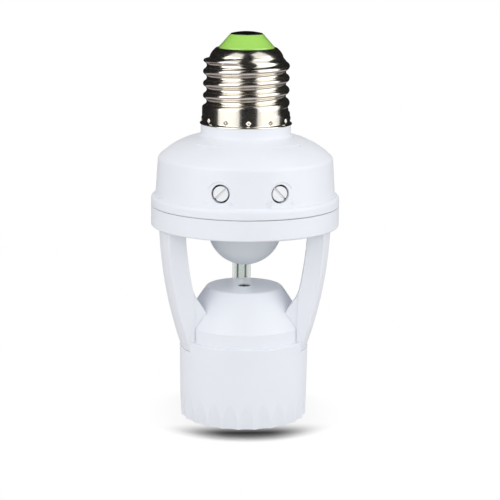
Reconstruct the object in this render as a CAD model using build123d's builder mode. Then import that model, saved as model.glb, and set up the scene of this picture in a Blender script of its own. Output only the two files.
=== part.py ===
"""Motion sensor lamp holder: an Edison screw cap that fits a ceiling lampholder, a round sensor
housing with two adjusters and a domed lens, two bowed legs, and a socket below them for the lamp."""

from build123d import *
import math
import os

os.makedirs("parts", exist_ok=True)

# All sizes are in millimetres. The origin is the centre of the lower rim, +Z runs up to the cap,
# and the adjusters face -Y. The legs stand at +X and -X.

# Socket housing, from the lower rim upwards
skirt_height = 25.0
rim_radius = 19.5
skirt_top_radius = 19.9
waist_radius = 18.45
waist_height = 4.0
cone_height = 11.6
cone_bulge = 0.37
cone_wall = 2.6
crown_radius = 11.5
crown_rounding = 1.0
socket_bore_radius = 17.2
socket_wall = 2.2
base_step_width = 1.4
base_step_height = 2.0
flute_count = 24
flute_depth = 0.65
flute_radius = 7.0
flute_height = 10.0

# Heights above the socket
sensor_gap = 19.2
ring_height = 6.2
seam_gap = 0.1
flange_height = 2.0
flange_rounding = 1.35
wall_height = 11.3
shoulder_height = 6.5
collar_height = 3.65

# Sensor housing
ring_radius = 28.75
ring_bottom_rounding = 0.5
ring_wall = 2.05
floor_thickness = 2.0
flange_step = 1.35
wall_draft = 0.75
housing_wall = 1.8
shoulder_bulge = 0.97
shoulder_rounding = 1.8
vault_bulge = 1.37
shoulder_top_radius = 15.0
collar_radius = 13.7
collar_fillet = 1.2
edge_rounding = 0.3
tongue_length = 2.6
tongue_clearance = 0.1
arc_groove_radius = 19.0
arc_groove_width = 0.5
arc_groove_depth = 0.35
arc_groove_start = 20.0
arc_groove_sweep = 36.5
arc_groove_fall = 1.05

# Screw cap, Edison 27
cap_thread_radius = 13.1
cap_thread_depth = 1.1
cap_thread_length = 14.4
cap_band_radius = 13.35
cap_band_height = 5.1
cap_rim_radius = 14.0
cap_rim_height = 0.8
cap_shoulder_height = 3.5
cap_shoulder_foot_radius = 11.6
cap_shoulder_radius = 9.2
cap_shoulder_bulge = 0.5
cap_sheet = 0.5
cap_opening_radius = 8.5
cap_step = 0.2
neck_bore_radius = 9.4
neck_clearance = 0.1
neck_hole_drop = 3.0
stake_count = 12
stake_radius = 0.45
stake_depth = 0.25
stake_height = 1.6
insulator_height = 4.1
insulator_top_radius = 5.0
insulator_clearance = 0.1
contact_radius = 4.8
contact_rise = 0.6
contact_edge = 0.2
contact_stem_radius = 1.2
contact_stem_length = 10.0

# Legs
leg_ring_step = 2.45
leg_bow = 1.45
leg_foot_radius = 19.5
leg_foot_depth = 3.0
leg_floor_bite = 0.5
leg_top_half_width = 11.9
leg_foot_half_width = 10.1
leg_wall = 2.0
leg_depth = 7.8
leg_inner_bow = 0.45
leg_knee_inset = 2.6
leg_knee_drop = 0.6
leg_knee_rounding = 10.0
leg_edge_rounding = 0.6
gusset_tip_gap = 0.5
gusset_height = 5.2
gusset_relief = 0.3
gusset_relief_inset = 0.5
joint_clearance = 0.05
notch_clearance = 0.1

# Lens and sensors
lens_radius = 11.4
lens_drop = 12.4
lens_thickness = 0.7
lens_flange_radius = 12.9
lens_flange_thickness = 1.0
lens_clearance = 0.1
spacer_radius = 12.6
spacer_bore_radius = 11.0
pyro_can_radius = 4.1
pyro_can_height = 3.5
pyro_flange_radius = 4.65
pyro_flange_height = 0.6
pyro_window_length = 4.6
pyro_window_width = 3.4
filter_thickness = 0.5
light_sensor_radius = 2.4
light_sensor_height = 2.0
light_sensor_offset = 7.6
light_sensor_drop = 3.0
pin_radius = 0.3

# Circuit board and what stands on it
board_edge_gap = 1.5
board_thickness = 1.6
board_lift = 2.2
relay_length = 18.5
relay_width = 10.2
relay_height = 15.2
relay_offset = 12.5
mains_capacitor_length = 13.0
mains_capacitor_width = 6.5
mains_capacitor_height = 12.0
mains_capacitor_offset = 11.5
smoothing_radius = 5.0
smoothing_height = 15.0
smoothing_offset = 12.0
chip_length = 9.9
chip_width = 3.9
chip_height = 1.5
chip_offset = 16.0
chip_pin_pitch = 1.27
chip_pin_count = 7
chip_pin_reach = 0.6
chip_pin_width = 0.4
case_rounding = 0.6

# Adjusters
knob_lift = 7.95
knob_spread = 18.9
knob_radius = 2.25
knob_recess = 0.6
knob_head_length = 4.2
knob_hole_radius = 2.8
knob_slot_width = 0.7
knob_slot_depth = 0.6
knob_slot_turn = 45.0
spigot_radius = 1.25
spigot_length = 4.0
spigot_clearance = 0.05
trimmer_gap = 0.3
trimmer_depth = 4.8
trimmer_radius = 4.8

# Screws
screw_edge_gap = 5.06
screw_turn = 43.9
screw_head_radius = 2.4
screw_head_height = 1.6
screw_shank_radius = 1.3
screw_length = 13.0
screw_clearance = 0.15
pilot_clearance = 0.05
pilot_end_gap = 1.0
post_radius = 3.4
boss_radius = 2.8
counterbore_depth = 3.0
base_screw_head_radius = 1.85
base_screw_head_height = 1.2
base_screw_radius = 1.05
base_screw_length = 10.0
base_screw_recess = 1.4
cross_slot_width = 0.7
cross_slot_depth = 0.6
cross_slot_share = 0.7

# Leads and the clear sleeve
sleeve_radius = 2.9
sleeve_bore_radius = 2.3
sleeve_offset = 15.1
sleeve_clearance = 0.05
sleeve_floor_seat = 1.2
sleeve_cone_depth = 1.4
lead_radius = 0.3
lead_spread = 1.25
lead_hole_clearance = 0.2
lead_lift = 1.6
lead_bend = 1.0
live_end_offset = 3.6
neutral_end_offset = 4.6
cap_lead_radius = 0.5
cap_lead_gap = 0.05
cap_lead_bend = 8.0
cap_lead_exit_bend = 1.6
cap_lead_spread = 3.0
cap_lead_front = 4.0
cap_lead_drop = 12.0
cap_lead_neck_gap = 2.4
cap_lead_neck_drop = 20.0

# Lamp contacts inside the socket
base_thickness = 3.5
base_clearance = 0.1
base_post_radius = 2.8
base_post_clearance = 0.2
crown_boss_radius = 5.0
crown_boss_depth = 1.4
shell_thread_radius = 12.2
shell_thread_depth = 1.0
shell_radius = 13.7
shell_length = 19.5
shell_thread_length = 16.4
shell_flange = 0.4
shell_flange_bore_radius = 8.0
rivet_radius = 1.2
rivet_head_radius = 1.9
rivet_head_height = 0.6
rivet_clearance = 0.05
rivet_offset = 10.0
spring_rivet_offset = 5.0
spring_thickness = 0.5
spring_width = 5.0
spring_drop = 2.4
spring_heel = 2.2
spring_flat = 2.4
spring_toe = 3.6
spring_toe_gap = 0.4
spring_bend = 0.9
tab_thickness = 0.4
tab_width = 3.8
tab_length = 9.2

# Levels that follow from the sizes above
waist_level = skirt_height
cone_level = waist_level + waist_height
crown_level = cone_level + cone_height
ring_level = crown_level + sensor_gap
floor_top = ring_level + floor_thickness
frame_top = ring_level + ring_height
flange_bottom = frame_top + seam_gap
flange_top = flange_bottom + flange_height
wall_foot = flange_top + flange_rounding
wall_top = wall_foot + wall_height
shoulder_top = wall_top + shoulder_height
cap_seat = shoulder_top + collar_height
band_top = cap_seat + cap_band_height
thread_top = band_top + cap_thread_length
cap_top = thread_top + cap_shoulder_height
insulator_top = cap_top + insulator_height
board_bottom = floor_top + board_lift
board_top = board_bottom + board_thickness
base_top = waist_level + base_step_height
base_bottom = base_top - base_thickness
lens_centre = crown_level + sensor_gap - lens_drop + lens_radius
knob_level = board_top + knob_lift
neck_top = thread_top - 2 * cap_step
neck_hole_level = neck_top - neck_hole_drop
leg_knee_level = crown_level - leg_knee_drop
gusset_tip_level = cone_level + gusset_height
shell_bottom = base_bottom - shell_length
shell_thread_top = shell_bottom + shell_thread_length
leg_foot = waist_level - leg_foot_depth
sleeve_foot = cone_level + sleeve_cone_depth
sleeve_top = ring_level + sleeve_floor_seat
screw_seat = ring_level + counterbore_depth
post_ceiling = crown_level - base_screw_recess - crown_boss_depth
leg_cut_top = floor_top - leg_floor_bite

# Radii that follow from the sizes above
wall_foot_radius = ring_radius - flange_step
wall_top_radius = wall_foot_radius - wall_draft
inner_wall_foot = wall_foot_radius - housing_wall
inner_wall_top = wall_top_radius - housing_wall
frame_bore_radius = ring_radius - ring_wall
board_radius = frame_bore_radius - board_edge_gap
screw_circle_radius = frame_bore_radius - screw_edge_gap
knob_face_distance = wall_foot_radius - knob_recess
band_bore_radius = cap_band_radius - cap_sheet
cap_bore_radius = cap_thread_radius - cap_thread_depth - cap_sheet
neck_radius = cap_bore_radius - neck_clearance
leg_top_radius = ring_radius - leg_ring_step
leg_inner_top = leg_top_radius - leg_depth
leg_knee_radius = leg_inner_top - leg_knee_inset
leg_middle_radius = (leg_top_radius + leg_foot_radius) / 2
gusset_tip_radius = crown_radius + gusset_tip_gap
gusset_relief_foot = leg_knee_radius - gusset_relief_inset
quarter_round = math.sqrt(0.5)


def dial_plane(turn, distance):
    """A plane at the height of the adjusters that faces outwards, turned from the front by an angle."""
    angle = math.radians(turn)
    outward = (math.sin(angle), -math.cos(angle), 0)
    sideways = (math.cos(angle), math.sin(angle), 0)
    place = (outward[0] * distance, outward[1] * distance, knob_level)
    return Plane(origin=place, x_dir=sideways, z_dir=outward)


# The four housing screws stand on one circle, in pairs beside the legs
screw_x = screw_circle_radius * math.cos(math.radians(screw_turn))
screw_y = screw_circle_radius * math.sin(math.radians(screw_turn))
screw_places = [(x, y) for x in (screw_x, -screw_x) for y in (screw_y, -screw_y)]

# Screw shell of the cap: plated steel sheet, flared at its rim, staked into the neck and domed at the
# top. Its wall between the band and the dome is the envelope of the rolled thread, crest to root.
with BuildPart() as screw_shell:
    with BuildSketch(Plane.XZ):
        with BuildLine():
            Polyline(
                (cap_shoulder_foot_radius, thread_top + cap_step),
                (cap_thread_radius - cap_step, thread_top + cap_step),
                (cap_thread_radius, thread_top),
                (cap_thread_radius, band_top + cap_step),
                (cap_band_radius, band_top),
                (cap_band_radius, cap_seat + cap_rim_height),
                (cap_rim_radius, cap_seat + cap_rim_height / 2),
                (cap_rim_radius, cap_seat),
                (band_bore_radius, cap_seat),
                (band_bore_radius, band_top - 2 * cap_step),
                (cap_bore_radius, band_top - cap_step),
                (cap_bore_radius, thread_top - cap_step),
                (cap_shoulder_radius - cap_sheet, cap_top - cap_sheet),
                (cap_opening_radius, cap_top - cap_sheet),
                (cap_opening_radius, cap_top),
                (cap_shoulder_radius, cap_top),
            )
            SagittaArc(
                (cap_shoulder_radius, cap_top),
                (cap_shoulder_foot_radius, thread_top + cap_step),
                cap_shoulder_bulge,
            )
        make_face()
    revolve(axis=Axis.Z)
    with Locations((0, 0, cap_seat + stake_height)):
        with PolarLocations(cap_band_radius + stake_radius - stake_depth, stake_count):
            Sphere(stake_radius, mode=Mode.SUBTRACT)
screw_shell.part.label = "screw_shell"
export_step(screw_shell.part, "parts/screw_shell.step")

# Insulating plug of the cap, pressed into the top of the shell and seated on the neck
with BuildPart() as cap_insulator:
    with BuildSketch(Plane.XZ):
        with BuildLine():
            Polyline(
                (contact_stem_radius + insulator_clearance, neck_top),
                (cap_bore_radius - 3 * insulator_clearance, neck_top),
                (cap_shoulder_radius - cap_sheet - 2 * insulator_clearance, cap_top - cap_sheet),
                (cap_opening_radius - insulator_clearance, cap_top - cap_sheet),
                (cap_opening_radius - insulator_clearance, cap_top),
                (insulator_top_radius, insulator_top),
                (contact_stem_radius + insulator_clearance, insulator_top),
                close=True,
            )
        make_face()
    revolve(axis=Axis.Z)
cap_insulator.part.label = "cap_insulator"
export_step(cap_insulator.part, "parts/cap_insulator.step")

# Centre contact: a domed button on a stem that carries the live lead
contact_dome_radius = (contact_radius**2 + contact_rise**2) / (2 * contact_rise)
contact_apex = insulator_top + contact_edge + contact_rise
with BuildPart() as centre_contact:
    with BuildSketch(Plane.XY.offset(insulator_top)):
        Circle(contact_radius)
    extrude(amount=contact_edge + contact_rise)
    with Locations((0, 0, contact_apex - contact_dome_radius)):
        Sphere(contact_dome_radius, mode=Mode.INTERSECT)
    with BuildSketch(Plane.XY.offset(insulator_top)):
        Circle(contact_stem_radius)
    extrude(amount=-contact_stem_length)
centre_contact.part.label = "centre_contact"
export_step(centre_contact.part, "parts/centre_contact.step")

# Outer form of the sensor housing, filled to the axis
with BuildPart() as housing_form:
    with BuildSketch(Plane.XZ) as housing_section:
        with BuildLine():
            Polyline(
                (shoulder_top_radius, shoulder_top),
                (collar_radius, shoulder_top),
                (collar_radius, cap_seat),
                (0, cap_seat),
                (0, flange_bottom),
                (ring_radius, flange_bottom),
                (ring_radius, flange_top),
            )
            ThreePointArc(
                (ring_radius, flange_top),
                (
                    wall_foot_radius + (ring_radius - wall_foot_radius) * quarter_round,
                    flange_top + flange_rounding * quarter_round,
                ),
                (wall_foot_radius, wall_foot),
            )
            Line((wall_foot_radius, wall_foot), (wall_top_radius, wall_top))
            SagittaArc((wall_top_radius, wall_top), (shoulder_top_radius, shoulder_top), -shoulder_bulge)
        make_face()
        corners = housing_section.vertices()
        fillet(corners.sort_by_distance((collar_radius, shoulder_top, 0))[0], collar_fillet)
        corners = housing_section.vertices()
        fillet(corners.sort_by_distance((ring_radius, flange_bottom, 0))[0], edge_rounding)
        corners = housing_section.vertices()
        fillet(corners.sort_by_distance((wall_top_radius, wall_top, 0))[0], shoulder_rounding)
    revolve(axis=Axis.Z)

# Hollow of the sensor housing: a drafted bore under a shallow vault
with BuildPart() as housing_hollow:
    with BuildSketch(Plane.XZ):
        with BuildLine():
            Polyline(
                (shoulder_top_radius - housing_wall, shoulder_top - housing_wall),
                (0, shoulder_top - housing_wall),
                (0, flange_bottom - tongue_length),
                (inner_wall_foot, flange_bottom - tongue_length),
                (inner_wall_foot, wall_foot),
                (inner_wall_top, wall_top - housing_wall),
            )
            SagittaArc(
                (inner_wall_top, wall_top - housing_wall),
                (shoulder_top_radius - housing_wall, shoulder_top - housing_wall),
                -vault_bulge,
            )
        make_face()
    revolve(axis=Axis.Z)

# Four screw bosses that reach from the board up into the vault
with BuildPart() as housing_bosses:
    with BuildSketch(Plane.XY.offset(board_top)):
        with Locations(*screw_places):
            Circle(boss_radius)
    extrude(amount=cap_seat - board_top)
    add(housing_form.part, mode=Mode.INTERSECT)

# Upper housing: white moulded cover with the neck that carries the cap and a tongue that enters the ring
with BuildPart() as upper_housing:
    add(housing_form.part)
    with BuildSketch(Plane.XY.offset(flange_bottom)):
        Circle(frame_bore_radius - tongue_clearance)
    extrude(amount=-tongue_length)
    with BuildSketch(Plane.XY.offset(cap_seat)):
        Circle(band_bore_radius - neck_clearance)
    extrude(amount=cap_band_height - 3 * cap_step)
    with BuildSketch(Plane.XY.offset(cap_seat)):
        Circle(neck_radius)
    extrude(amount=neck_top - cap_seat)
    add(housing_hollow.part, mode=Mode.SUBTRACT)
    with BuildSketch(Plane.XY.offset(shoulder_top - housing_wall)):
        Circle(neck_bore_radius)
    extrude(amount=neck_top - shoulder_top + housing_wall, mode=Mode.SUBTRACT)
    add(housing_bosses.part)
    with BuildSketch(Plane.XY.offset(board_top)):
        with Locations(*screw_places):
            Circle(screw_shank_radius + pilot_clearance)
    extrude(amount=screw_seat + screw_length + pilot_end_gap - board_top, mode=Mode.SUBTRACT)
    for turn in (-knob_spread, knob_spread):
        with BuildSketch(dial_plane(turn, ring_radius)):
            Circle(knob_hole_radius)
        extrude(amount=-(ring_radius - inner_wall_foot + 2 * housing_wall), mode=Mode.SUBTRACT)
    for turn in (arc_groove_start, 180 + arc_groove_start, -arc_groove_start - arc_groove_sweep,
                 180 - arc_groove_start - arc_groove_sweep):
        groove_plane = Plane(
            origin=(0, 0, shoulder_top - arc_groove_fall),
            x_dir=(math.sin(math.radians(turn)), -math.cos(math.radians(turn)), 0),
            z_dir=(-math.cos(math.radians(turn)), -math.sin(math.radians(turn)), 0),
        )
        with BuildSketch(groove_plane):
            with Locations((arc_groove_radius, arc_groove_depth)):
                Rectangle(arc_groove_width, 4 * arc_groove_depth)
        revolve(axis=Axis.Z, revolution_arc=arc_groove_sweep, mode=Mode.SUBTRACT)
    with BuildSketch(Plane.YZ.offset(-cap_bore_radius)):
        with Locations((0, neck_hole_level)):
            Circle(cap_lead_radius + lead_hole_clearance)
    extrude(amount=cap_bore_radius, mode=Mode.SUBTRACT)
upper_housing.part.label = "upper_housing"
export_step(upper_housing.part, "parts/upper_housing.step")

# Outer form of the socket housing, filled to the axis: skirt, waist and a slightly crowned cone
with BuildPart() as socket_form:
    with BuildSketch(Plane.XZ) as socket_section:
        with BuildLine():
            Polyline(
                (crown_radius, crown_level),
                (0, crown_level),
                (0, 0),
                (rim_radius, 0),
                (skirt_top_radius, waist_level),
                (waist_radius, waist_level),
                (waist_radius, cone_level),
            )
            SagittaArc((waist_radius, cone_level), (crown_radius, crown_level), -cone_bulge)
        make_face()
        corners = socket_section.vertices()
        fillet(corners.sort_by_distance((skirt_top_radius, waist_level, 0))[0], edge_rounding)
        corners = socket_section.vertices()
        fillet(corners.sort_by_distance((crown_radius, crown_level, 0))[0], crown_rounding)
    revolve(axis=Axis.Z)

# Space that the legs must leave for the socket housing
with BuildPart() as socket_seat:
    with BuildSketch(Plane.XZ):
        with BuildLine():
            Polyline(
                (crown_radius + joint_clearance, crown_level + joint_clearance),
                (0, crown_level + joint_clearance),
                (0, leg_foot - leg_foot_depth),
                (waist_radius + joint_clearance, leg_foot - leg_foot_depth),
                (waist_radius + joint_clearance, cone_level),
            )
            SagittaArc(
                (waist_radius + joint_clearance, cone_level),
                (crown_radius + joint_clearance, crown_level + joint_clearance),
                -cone_bulge,
            )
        make_face()
    revolve(axis=Axis.Z)


def leg_band(front, back):
    """The slab between two planes, set in from the drafted front and back faces of the legs."""
    with BuildPart() as band:
        with BuildSketch(Plane.YZ):
            Polygon(
                (front - leg_top_half_width, floor_top),
                (front - leg_foot_half_width, leg_foot - leg_foot_depth),
                (leg_foot_half_width - back, leg_foot - leg_foot_depth),
                (leg_top_half_width - back, floor_top),
                align=None,
            )
        extrude(amount=2 * ring_radius, both=True)
    return band.part


def leg_form(inset):
    """A solid of revolution inside the bowed outer face of the legs."""
    with BuildPart() as form:
        with BuildSketch(Plane.XZ):
            with BuildLine():
                Polyline(
                    (leg_top_radius - inset, ring_level),
                    (leg_top_radius - inset, leg_cut_top),
                    (0, leg_cut_top),
                    (0, leg_foot),
                    (leg_foot_radius - inset, leg_foot),
                )
                SagittaArc(
                    (leg_foot_radius - inset, leg_foot),
                    (leg_top_radius - inset, ring_level),
                    -leg_bow,
                )
            make_face()
        revolve(axis=Axis.Z)
    return form.part


# The two legs: bowed walls with a flange along the front edge, whose web at the foot meets the cone
with BuildPart() as legs:
    with BuildSketch(Plane.XZ) as flange_section:
        with BuildLine():
            SagittaArc((leg_inner_top, leg_cut_top), (leg_knee_radius, leg_knee_level), leg_inner_bow)
            Polyline(
                (leg_knee_radius, leg_knee_level),
                (gusset_tip_radius, gusset_tip_level),
                (gusset_tip_radius, leg_foot),
                (ring_radius, leg_foot),
                (ring_radius, leg_cut_top),
                (leg_inner_top, leg_cut_top),
            )
        make_face()
        corners = flange_section.vertices()
        fillet(corners.sort_by_distance((leg_knee_radius, leg_knee_level, 0))[0], leg_knee_rounding)
    extrude(amount=leg_top_half_width, both=True)
    mirror(about=Plane.YZ)
    add(leg_band(0, 0), mode=Mode.INTERSECT)
    add(leg_form(0), mode=Mode.INTERSECT)
    long_edges = legs.edges().filter_by(lambda edge: edge.length > sensor_gap)
    outer_edges = long_edges.filter_by(
        lambda edge: math.hypot(edge.center().X, edge.center().Y) > leg_middle_radius
    )
    fillet(outer_edges, leg_edge_rounding)

# Space behind the front flange and inside the wall
with BuildPart() as leg_hollows:
    add(leg_form(leg_wall))
    add(leg_band(leg_wall, -leg_wall), mode=Mode.INTERSECT)
    with BuildSketch(Plane.XY.offset(ring_level)):
        Circle(ring_radius)
    extrude(amount=floor_thickness, mode=Mode.SUBTRACT)

with BuildPart() as web_reliefs:
    with BuildSketch(Plane.XZ):
        Polygon(
            (leg_knee_radius, leg_knee_level),
            (crown_radius, gusset_tip_level),
            (crown_radius, leg_foot),
            (gusset_relief_foot, leg_foot),
            align=None,
        )
    extrude(amount=leg_top_half_width, both=True)
    mirror(about=Plane.YZ)
    add(leg_band(gusset_relief, gusset_relief), mode=Mode.SUBTRACT)

# Leg frame: one white moulding of ring, floor, screw posts and legs
with BuildPart() as leg_frame:
    with BuildSketch(Plane.XZ):
        with BuildLine():
            Polyline(
                (ring_radius, ring_level + ring_bottom_rounding),
                (ring_radius, frame_top),
                (frame_bore_radius, frame_top),
                (frame_bore_radius, floor_top),
                (lens_radius + lens_clearance, floor_top),
                (lens_radius + lens_clearance, ring_level),
                (ring_radius - ring_bottom_rounding, ring_level),
            )
            ThreePointArc(
                (ring_radius - ring_bottom_rounding, ring_level),
                (
                    ring_radius - ring_bottom_rounding * (1 - quarter_round),
                    ring_level + ring_bottom_rounding * (1 - quarter_round),
                ),
                (ring_radius, ring_level + ring_bottom_rounding),
            )
        make_face()
    revolve(axis=Axis.Z)
    add(legs.part)
    add(leg_hollows.part, mode=Mode.SUBTRACT)
    add(web_reliefs.part, mode=Mode.SUBTRACT)
    add(socket_seat.part, mode=Mode.SUBTRACT)
    with BuildSketch(Plane.XY.offset(ring_level)):
        with Locations(*screw_places):
            Circle(post_radius)
    extrude(amount=board_bottom - ring_level)
    with BuildSketch(Plane.XY.offset(ring_level)):
        with Locations(*screw_places):
            Circle(screw_shank_radius + screw_clearance)
    extrude(amount=board_bottom - ring_level, mode=Mode.SUBTRACT)
    with BuildSketch(Plane.XY.offset(ring_level)):
        with Locations(*screw_places):
            Circle(screw_head_radius + screw_clearance)
    extrude(amount=counterbore_depth, mode=Mode.SUBTRACT)
    with BuildSketch(Plane.XY.offset(ring_level)):
        with Locations((0, sleeve_offset)):
            Circle(sleeve_radius + sleeve_clearance)
    extrude(amount=sleeve_floor_seat, mode=Mode.SUBTRACT)
    with BuildSketch(Plane.XY.offset(ring_level)):
        with Locations((-lead_spread, sleeve_offset), (lead_spread, sleeve_offset)):
            Circle(lead_radius + lead_hole_clearance)
    extrude(amount=floor_thickness, mode=Mode.SUBTRACT)
leg_frame.part.label = "leg_frame"
export_step(leg_frame.part, "parts/leg_frame.step")

# Tapered cutters whose overlap leaves the scalloped grip round the rim
flute_tilt = math.degrees(math.atan((flute_depth + skirt_top_radius - rim_radius) / flute_height))
with BuildPart() as flutes:
    with PolarLocations(0, flute_count, start_angle=90):
        with Locations(Location((rim_radius - flute_depth + flute_radius, 0, 0), (0, flute_tilt, 0))):
            Cylinder(flute_radius, 3 * flute_height)

# Notches beside the legs, where their feet are let into the skirt
with BuildPart() as foot_notches:
    with BuildSketch(Plane.XY.offset(leg_foot - notch_clearance)):
        Circle(ring_radius)
        Circle(waist_radius, mode=Mode.SUBTRACT)
    extrude(amount=leg_foot_depth + notch_clearance)
    add(leg_band(-notch_clearance, -notch_clearance), mode=Mode.INTERSECT)

# Socket housing: white moulded skirt and cone round the lamp contacts
with BuildPart() as socket_housing:
    add(socket_form.part)
    add(flutes.part, mode=Mode.SUBTRACT)
    add(foot_notches.part, mode=Mode.SUBTRACT)
    with BuildSketch(Plane.XZ):
        with BuildLine():
            Polyline(
                (crown_radius - socket_wall, crown_level - socket_wall),
                (0, crown_level - socket_wall),
                (0, 0),
                (socket_bore_radius, 0),
                (socket_bore_radius, base_top),
                (socket_bore_radius - base_step_width, base_top),
                (waist_radius - cone_wall, cone_level),
            )
            SagittaArc(
                (waist_radius - cone_wall, cone_level),
                (crown_radius - socket_wall, crown_level - socket_wall),
                -cone_bulge,
            )
        make_face()
    revolve(axis=Axis.Z, mode=Mode.SUBTRACT)
    with BuildSketch(Plane.XY.offset(post_ceiling)):
        Circle(crown_boss_radius)
    extrude(amount=crown_level - socket_wall - post_ceiling)
    with BuildSketch(Plane.XY.offset(crown_level)):
        Circle(base_screw_head_radius + screw_clearance)
    extrude(amount=-base_screw_recess, mode=Mode.SUBTRACT)
    with BuildSketch(Plane.XY.offset(crown_level)):
        Circle(base_screw_radius + screw_clearance)
    extrude(amount=-(crown_level - post_ceiling), mode=Mode.SUBTRACT)
    with BuildSketch(Plane.XY.offset(sleeve_foot)):
        with Locations((0, sleeve_offset)):
            Circle(sleeve_radius + sleeve_clearance)
    extrude(amount=crown_level - sleeve_foot, mode=Mode.SUBTRACT)
    with BuildSketch(Plane.XY.offset(base_top)):
        with Locations((0, sleeve_offset)):
            SlotOverall(2 * sleeve_bore_radius, 2 * (lead_radius + lead_hole_clearance))
    extrude(amount=sleeve_foot - base_top, mode=Mode.SUBTRACT)
socket_housing.part.label = "socket_housing"
export_step(socket_housing.part, "parts/socket_housing.step")

# Domed sensor lens: thin milky moulding with a flange that lies on the floor of the ring
with BuildPart() as sensor_lens:
    with BuildSketch(Plane.XZ):
        with BuildLine():
            Polyline(
                (lens_radius, lens_centre),
                (lens_radius, floor_top),
                (lens_flange_radius, floor_top),
                (lens_flange_radius, floor_top + lens_flange_thickness),
                (lens_radius - lens_thickness, floor_top + lens_flange_thickness),
                (lens_radius - lens_thickness, lens_centre),
            )
            CenterArc((0, lens_centre), lens_radius - lens_thickness, 270, 90)
            Line(
                (0, lens_centre - lens_radius + lens_thickness),
                (0, lens_centre - lens_radius),
            )
            CenterArc((0, lens_centre), lens_radius, 270, 90)
        make_face()
    revolve(axis=Axis.Z)
sensor_lens.part.label = "sensor_lens"
export_step(sensor_lens.part, "parts/sensor_lens.step")

# Spacer ring that holds the lens down under the board
with BuildPart() as lens_spacer:
    with BuildSketch(Plane.XY.offset(floor_top + lens_flange_thickness)):
        Circle(spacer_radius)
        Circle(spacer_bore_radius, mode=Mode.SUBTRACT)
    extrude(amount=board_lift - lens_flange_thickness)
lens_spacer.part.label = "lens_spacer"
export_step(lens_spacer.part, "parts/lens_spacer.step")

# Pyroelectric sensor: metal can with a rectangular window that looks down into the lens
with BuildPart() as pyro_sensor:
    with BuildSketch(Plane.XY.offset(board_bottom)):
        Circle(pyro_flange_radius)
    extrude(amount=-pyro_flange_height)
    with BuildSketch(Plane.XY.offset(board_bottom - pyro_flange_height)):
        Circle(pyro_can_radius)
    extrude(amount=-pyro_can_height)
    with BuildSketch(Plane.XY.offset(board_bottom - pyro_flange_height - pyro_can_height)):
        Rectangle(pyro_window_length, pyro_window_width)
    extrude(amount=filter_thickness, mode=Mode.SUBTRACT)
pyro_sensor.part.label = "pyro_sensor"
export_step(pyro_sensor.part, "parts/pyro_sensor.step")

# Dark infrared filter that closes the window of the can
with BuildPart() as sensor_filter:
    with BuildSketch(Plane.XY.offset(board_bottom - pyro_flange_height - pyro_can_height)):
        Rectangle(pyro_window_length, pyro_window_width)
    extrude(amount=filter_thickness)
sensor_filter.part.label = "sensor_filter"
export_step(sensor_filter.part, "parts/sensor_filter.step")

# Light sensor: a small disc on two pins, beside the pyroelectric sensor and under the same lens
with BuildPart() as light_sensor:
    with BuildSketch(Plane.XY.offset(board_bottom - light_sensor_drop)):
        with Locations((0, -light_sensor_offset)):
            Circle(light_sensor_radius)
    extrude(amount=light_sensor_height)
    with BuildSketch(Plane.XY.offset(board_bottom - light_sensor_drop + light_sensor_height)):
        with Locations((0, -light_sensor_offset)):
            with GridLocations(light_sensor_radius, 0, 2, 1):
                Circle(pin_radius)
    extrude(amount=light_sensor_drop - light_sensor_height)
light_sensor.part.label = "light_sensor"
export_step(light_sensor.part, "parts/light_sensor.step")

# Round circuit board, clamped between the posts of the ring and the bosses of the housing
with BuildPart() as circuit_board:
    with BuildSketch(Plane.XY.offset(board_bottom)):
        Circle(board_radius)
        with Locations(*screw_places):
            Circle(screw_shank_radius + screw_clearance, mode=Mode.SUBTRACT)
    extrude(amount=board_thickness)
circuit_board.part.label = "circuit_board"
export_step(circuit_board.part, "parts/circuit_board.step")

# Relay in its sealed case
with BuildPart() as relay:
    with BuildSketch(Plane.XY.offset(board_top)):
        with Locations((0, relay_offset)):
            Rectangle(relay_length, relay_width)
    extrude(amount=relay_height)
    fillet(relay.edges().group_by(Axis.Z)[-1], case_rounding)
relay.part.label = "relay"
export_step(relay.part, "parts/relay.step")

# Mains dropper capacitor in its box
with BuildPart() as mains_capacitor:
    with BuildSketch(Plane.XY.offset(board_top)):
        with Locations((-mains_capacitor_offset, 0)):
            Rectangle(mains_capacitor_width, mains_capacitor_length)
    extrude(amount=mains_capacitor_height)
    fillet(mains_capacitor.edges().group_by(Axis.Z)[-1], case_rounding)
mains_capacitor.part.label = "mains_capacitor"
export_step(mains_capacitor.part, "parts/mains_capacitor.step")

# Smoothing capacitor: a can standing on the board
with BuildPart() as smoothing_capacitor:
    with BuildSketch(Plane.XY.offset(board_top)):
        with Locations((smoothing_offset, 0)):
            Circle(smoothing_radius)
    extrude(amount=smoothing_height)
    fillet(smoothing_capacitor.edges().group_by(Axis.Z)[-1], case_rounding)
smoothing_capacitor.part.label = "smoothing_capacitor"
export_step(smoothing_capacitor.part, "parts/smoothing_capacitor.step")

# Control chip on the underside of the board, with its two rows of pins
with BuildPart() as control_chip:
    with BuildSketch(Plane.XY.offset(board_bottom)):
        with Locations((-chip_offset, 0)):
            Rectangle(chip_width, chip_length)
    extrude(amount=-chip_height)
    with BuildSketch(Plane.XY.offset(board_bottom)):
        with Locations((-chip_offset, 0)):
            with GridLocations(0, chip_pin_pitch, 1, chip_pin_count):
                Rectangle(chip_width + 2 * chip_pin_reach, chip_pin_width)
    extrude(amount=-pin_radius)
control_chip.part.label = "control_chip"
export_step(control_chip.part, "parts/control_chip.step")

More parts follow.
